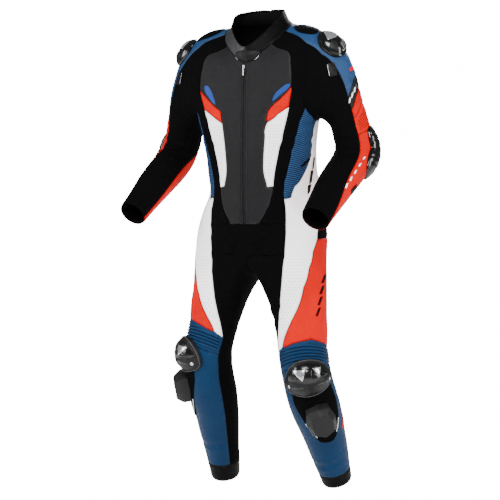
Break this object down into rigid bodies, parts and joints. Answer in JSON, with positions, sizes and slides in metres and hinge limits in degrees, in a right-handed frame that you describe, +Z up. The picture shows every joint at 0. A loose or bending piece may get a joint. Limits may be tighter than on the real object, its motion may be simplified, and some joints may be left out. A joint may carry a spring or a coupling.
{
  "type": "motorcycle race suit",
  "caption": "One-piece leather and stretch race suit in its worn form, with a stand collar, front zip, accordion panels, shoulder cups, elbow guards and knee sliders.",
  "frame": {"origin": "middle of the neck opening at the base of the collar, where the suit hangs on the wearer's shoulders", "axes": "+Z up along the wearer, the front faces -Y, and +X is the wearer's left"},
  "size_m": [0.7495, 0.4244, 1.4748],
  "materials": {
    "grey_leather": "dark grey perforated leather, low sheen",
    "black_leather": "black leather, soft sheen",
    "black_stretch": "matt black stretch cloth",
    "navy_stretch": "navy stretch with fine light blue lines or raised ribs",
    "blue_leather": "mid blue leather, low sheen",
    "red_leather": "bright red leather, low sheen",
    "white_leather": "white perforated leather, low sheen",
    "gloss_armour": "glossy black moulded plastic with a polished plate",
    "slider_plastic": "matt dark grey moulded block",
    "black_rubber": "moulded black rubber tab",
    "zip_cloth": "black woven zip tape with dark teeth",
    "zip_metal": "brushed silver metal"
  },
  "bodies": {
    "suit": {"front_left": "grey_leather", "band_left": "black_stretch", "shoulder_left": "blue_leather", "back": "black_stretch", "shoulder_right": "blue_leather", "band_right": "black_stretch", "front_right": "grey_leather", "chest_stripe_left": "red_leather", "chest_stripe_right": "red_leather", "side_front_left": "white_leather", "flank_left": "navy_stretch", "hip_left": "white_leather", "hip_right": "white_leather", "flank_right": "navy_stretch", "side_front_right": "white_leather", "seat": "black_stretch", "crotch": "black_stretch", "thigh_left": "red_leather", "thigh_right": "red_leather", "collar_left": "black_leather", "collar_right": "black_leather", "sleeve_inner_left": "black_stretch", "sleeve_band_left": "grey_leather", "sleeve_upper_left": "red_leather", "elbow_ribs_left": "red_leather", "forearm_left": "red_leather", "inner_thigh_left": "black_stretch", "calf_left": "black_stretch", "knee_ribs_left": "navy_stretch", "shin_left": "blue_leather", "hem_left": "black_stretch", "sleeve_inner_right": "black_stretch", "sleeve_band_right": "grey_leather", "sleeve_upper_right": "red_leather", "elbow_ribs_right": "red_leather", "forearm_right": "red_leather", "inner_thigh_right": "black_stretch", "calf_right": "black_stretch", "knee_ribs_right": "navy_stretch", "shin_right": "blue_leather", "hem_right": "black_stretch", "shoulder_cup_left": "gloss_armour", "shoulder_pad_left": "black_leather", "arm_tab_left": "black_rubber", "elbow_guard_left": "gloss_armour", "knee_shell_left": "gloss_armour", "knee_slider_left": "slider_plastic", "knee_base_left": "black_stretch", "shoulder_cup_right": "gloss_armour", "shoulder_pad_right": "black_leather", "arm_tab_right": "black_rubber", "elbow_guard_right": "gloss_armour", "knee_shell_right": "gloss_armour", "knee_slider_right": "slider_plastic", "knee_base_right": "black_stretch", "zip_tape": "zip_cloth", "collar_tab": "black_rubber", "zip_slider": "zip_metal"},
    "pull": {"zip_pull": "zip_metal"}
  },
  "joints": [
    {"name": "zip_pull_hinge", "type": "hinge", "parent": "suit", "child": "pull", "pos_m": [0, -0.09632, -0.09362], "axis": [-1, 0, 0], "range_deg": [0, 150]}
  ]
}
